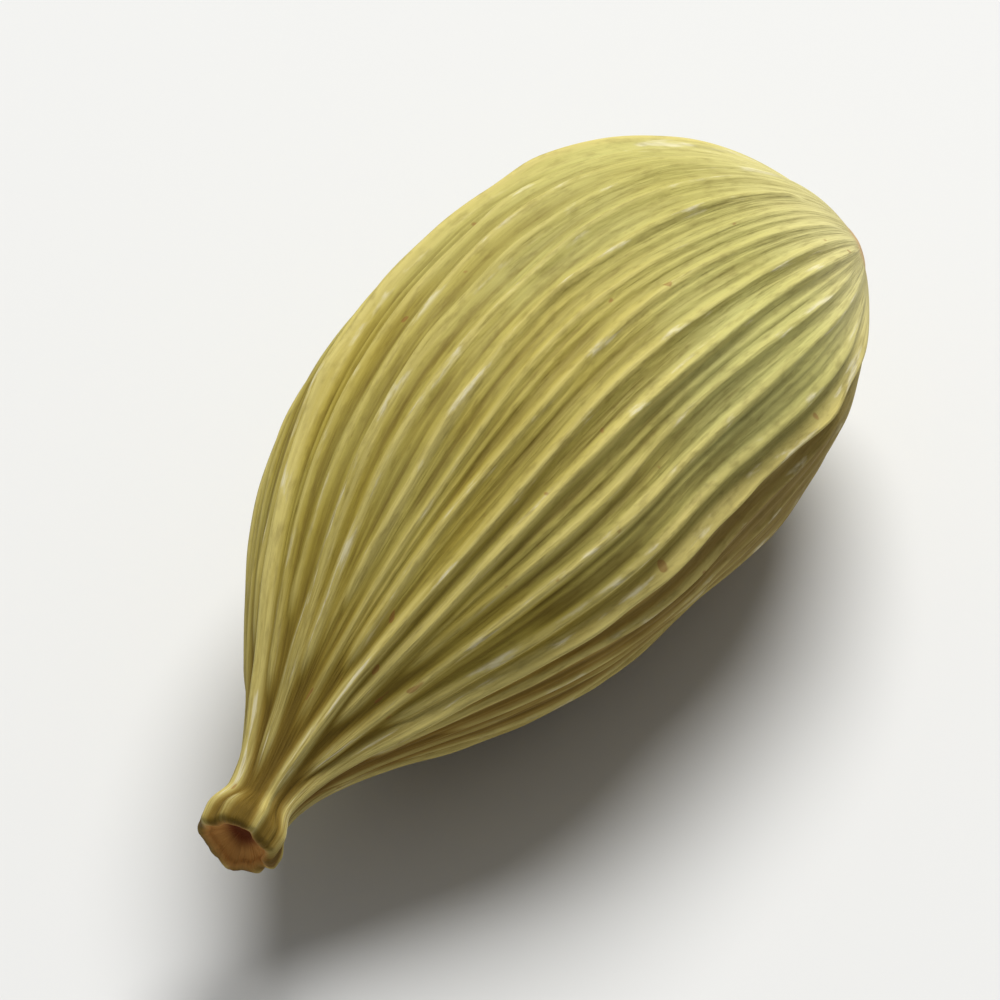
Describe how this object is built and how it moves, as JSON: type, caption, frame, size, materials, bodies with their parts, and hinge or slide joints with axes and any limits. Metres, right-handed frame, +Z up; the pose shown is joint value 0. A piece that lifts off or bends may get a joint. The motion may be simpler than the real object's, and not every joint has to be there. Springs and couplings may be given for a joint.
{
  "type": "green cardamom pod",
  "caption": "Dried green cardamom pod lying on its side: a ribbed, three-keeled husk with a stalk scar at one end and a necked beak at the other.",
  "frame": {"origin": "middle of the pod's box, on the surface that it lies on", "axes": "+X along the pod towards its stalk scar, -X towards the beak; +Z up from the surface that it lies on"},
  "size_m": [0.0178, 0.008, 0.0077],
  "materials": {
    "husk": "dry papery husk, matte, olive to straw"
  },
  "bodies": {
    "root": {"pod": "husk"}
  },
  "joints": []
}
